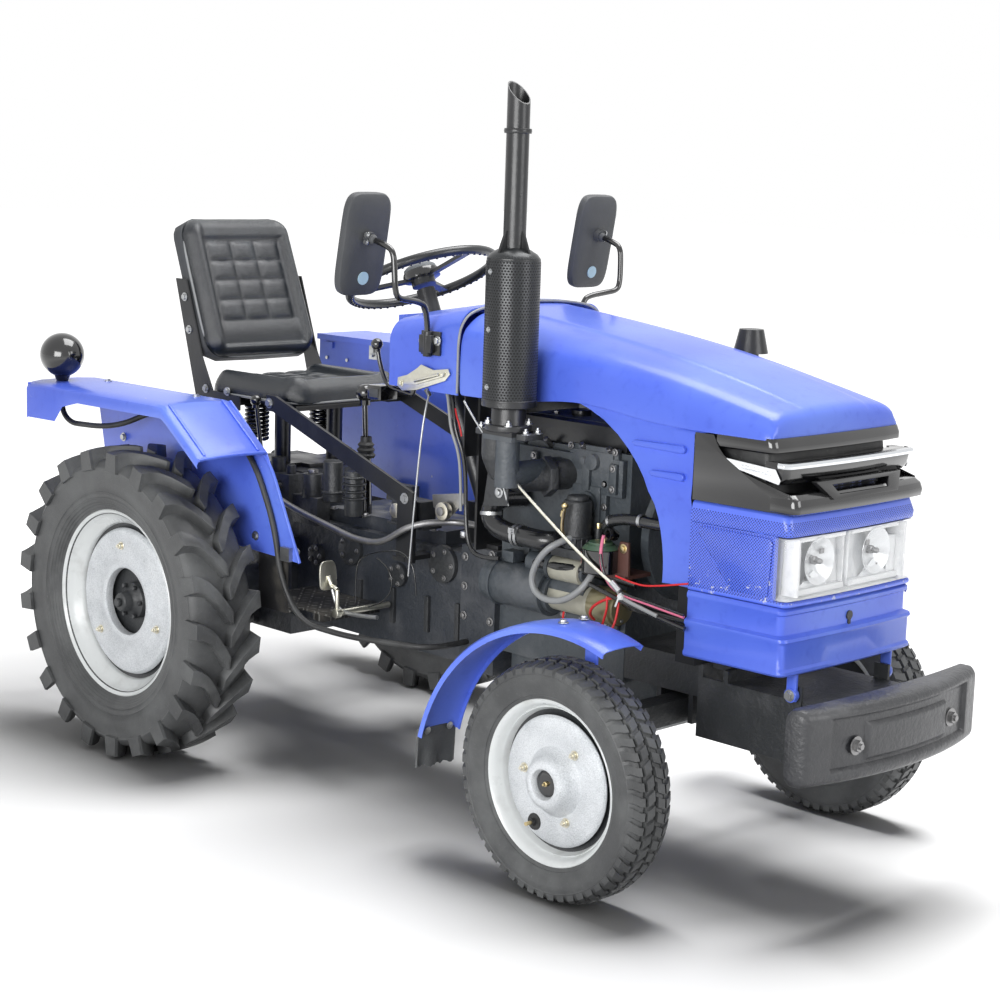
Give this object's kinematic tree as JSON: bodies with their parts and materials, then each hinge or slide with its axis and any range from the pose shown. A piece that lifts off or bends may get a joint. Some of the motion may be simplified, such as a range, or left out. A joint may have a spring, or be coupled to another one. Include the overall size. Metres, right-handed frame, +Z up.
{
  "type": "farm tractor",
  "caption": "Compact two-wheel-drive farm tractor with a tipping bonnet, upright exhaust, open driver's seat and a rear linkage.",
  "frame": {"origin": "on the ground, under the middle of the machine's overall length and width", "axes": "+X forward, +Y to the driver's left, +Z up"},
  "size_m": [2.89, 1.4, 1.8942],
  "materials": {
    "blue_sheet": "glossy blue paint on pressed sheet",
    "black_sheet": "satin black paint",
    "black_gloss": "gloss black moulding",
    "black_casting": "rough casting under satin black paint",
    "blue_casting": "rough casting under blue paint",
    "engine_paint": "dark painted castings",
    "wheel_paint": "cream painted rim with silver cast disc",
    "tyre_rubber": "matt treaded rubber",
    "lamp_glass": "clear ribbed lens",
    "bright_steel": "bright machined steel",
    "zinc_steel": "zinc plated steel",
    "black_vinyl": "black quilted vinyl",
    "black_plastic": "textured black plastic",
    "black_rubber": "moulded hose rubber",
    "radiator_metal": "finned core, painted black"
  },
  "bodies": {
    "chassis": {"air_cleaner": "black_sheet", "coolant_hose": "black_rubber", "dash_cowl": "blue_sheet", "dash_support": "black_sheet", "drawbar": "black_casting", "engine": "engine_paint", "exhaust": "black_sheet", "final_drives": "blue_casting", "footplates": "black_sheet", "front_axle": "black_casting", "front_support": "black_casting", "front_weight": "black_casting", "gearbox_housing": "blue_casting", "hydraulic_pipe": "black_sheet", "lamp_conduit": "black_rubber", "levers": "bright_steel", "mirrors": "black_plastic", "pedals": "black_sheet", "radiator": "radiator_metal", "rear_axle_housing": "blue_casting", "rear_fenders": "blue_sheet", "seat_arms": "black_sheet", "seat_back": "black_vinyl", "seat_cushion": "black_vinyl", "seat_frame": "black_sheet", "steering_column": "black_sheet", "toolbox": "blue_sheet", "work_lamp": "black_gloss"},
    "knuckle_right": {"knuckle_right": "black_casting", "front_fender_right": "blue_sheet"},
    "knuckle_left": {"knuckle_left": "black_casting", "front_fender_left": "blue_sheet"},
    "front_wheel_right": {"front_wheel_right": "wheel_paint", "front_tyre_right": "tyre_rubber"},
    "front_wheel_left": {"front_wheel_left": "wheel_paint", "front_tyre_left": "tyre_rubber"},
    "rear_wheel_right": {"rear_wheel_right": "wheel_paint", "rear_tyre_right": "tyre_rubber"},
    "rear_wheel_left": {"rear_wheel_left": "wheel_paint", "rear_tyre_left": "tyre_rubber"},
    "tie_rod": {"tie_rod": "zinc_steel"},
    "pitman_arm": {"pitman_arm": "black_casting"},
    "drag_link": {"drag_link": "zinc_steel"},
    "steering_wheel": {"steering_wheel": "black_plastic"},
    "bonnet": {"bonnet": "blue_sheet", "bonnet_side_panels": "blue_sheet", "grille": "black_gloss", "headlamp_panel": "blue_sheet", "headlamps": "lamp_glass", "nose_panel": "blue_sheet"},
    "toolbox_lid": {"toolbox_lid": "blue_sheet"},
    "lift_arms": {"lift_arms": "black_casting"},
    "lift_rods": {"lift_rods": "zinc_steel"},
    "lower_links": {"lower_links": "black_casting"},
    "power_shaft": {"power_shaft": "bright_steel"}
  },
  "joints": [
    {"name": "steer_right", "type": "hinge", "parent": "chassis", "child": "knuckle_right", "pos_m": [0.845, -0.405, 0.395], "axis": [0, 0, 1], "range_deg": [-30, 30]},
    {"name": "steer_left", "type": "hinge", "parent": "chassis", "child": "knuckle_left", "pos_m": [0.845, 0.405, 0.395], "axis": [0, 0, 1], "range_deg": [-30, 30]},
    {"name": "front_wheel_right_spin", "type": "hinge", "parent": "knuckle_right", "child": "front_wheel_right", "pos_m": [0.845, -0.525, 0.288], "axis": [0, 1, 0], "continuous": true},
    {"name": "front_wheel_left_spin", "type": "hinge", "parent": "knuckle_left", "child": "front_wheel_left", "pos_m": [0.845, 0.525, 0.288], "axis": [0, 1, 0], "continuous": true},
    {"name": "rear_wheel_right_spin", "type": "hinge", "parent": "chassis", "child": "rear_wheel_right", "pos_m": [-0.755, -0.597, 0.442], "axis": [0, 1, 0], "continuous": true},
    {"name": "rear_wheel_left_spin", "type": "hinge", "parent": "chassis", "child": "rear_wheel_left", "pos_m": [-0.755, 0.597, 0.442], "axis": [0, 1, 0], "continuous": true},
    {"name": "tie_rod_pivot", "type": "hinge", "parent": "knuckle_right", "child": "tie_rod", "pos_m": [0.715, -0.405, 0.3], "axis": [0, 0, 1], "range_deg": [-30, 30]},
    {"name": "pitman_swing", "type": "hinge", "parent": "chassis", "child": "pitman_arm", "pos_m": [0.05484, 0.176, 0.73], "axis": [0, 1, 0], "range_deg": [-25, 25]},
    {"name": "drag_link_pivot", "type": "hinge", "parent": "pitman_arm", "child": "drag_link", "pos_m": [0.05484, 0.2, 0.48], "axis": [0, 1, 0], "range_deg": [-25, 25]},
    {"name": "steering_wheel_turn", "type": "hinge", "parent": "chassis", "child": "steering_wheel", "pos_m": [-0.245, 0, 1.373], "axis": [-0.4226, 0, 0.9063], "range_deg": [-540, 540]},
    {"name": "bonnet_tilt", "type": "hinge", "parent": "chassis", "child": "bonnet", "pos_m": [1.234, 0, 0.517], "axis": [0, 1, 0], "range_deg": [0, 55]},
    {"name": "toolbox_lid_hinge", "type": "hinge", "parent": "chassis", "child": "toolbox_lid", "pos_m": [-0.945, 0.646, 1.1144], "axis": [-1, 0, 0], "range_deg": [0, 100]},
    {"name": "lower_links_lift", "type": "hinge", "parent": "chassis", "child": "lower_links", "pos_m": [-0.765, 0, 0.345], "axis": [0, 1, 0], "range_deg": [-10, 35]},
    {"name": "lift_arms_turn", "type": "hinge", "parent": "chassis", "child": "lift_arms", "pos_m": [-0.875, 0, 0.74], "axis": [0, 1, 0], "range_deg": [-16, 56]},
    {"name": "lift_rods_pivot", "type": "hinge", "parent": "lift_arms", "child": "lift_rods", "pos_m": [-1.115, 0, 0.74], "axis": [0, 1, 0], "range_deg": [-56, 16]},
    {"name": "power_shaft_spin", "type": "hinge", "parent": "chassis", "child": "power_shaft", "pos_m": [-0.99, 0, 0.505], "axis": [1, 0, 0], "continuous": true}
  ],
  "couplings": [
    {"joint": "steer_left", "follows": "steer_right", "ratio": 1},
    {"joint": "tie_rod_pivot", "follows": "steer_right", "ratio": -1},
    {"joint": "pitman_swing", "follows": "steer_right", "ratio": -0.82},
    {"joint": "drag_link_pivot", "follows": "steer_right", "ratio": 0.82},
    {"joint": "steering_wheel_turn", "follows": "steer_right", "ratio": 18},
    {"joint": "lift_arms_turn", "follows": "lower_links_lift", "ratio": 1.58},
    {"joint": "lift_rods_pivot", "follows": "lower_links_lift", "ratio": -1.58}
  ]
}
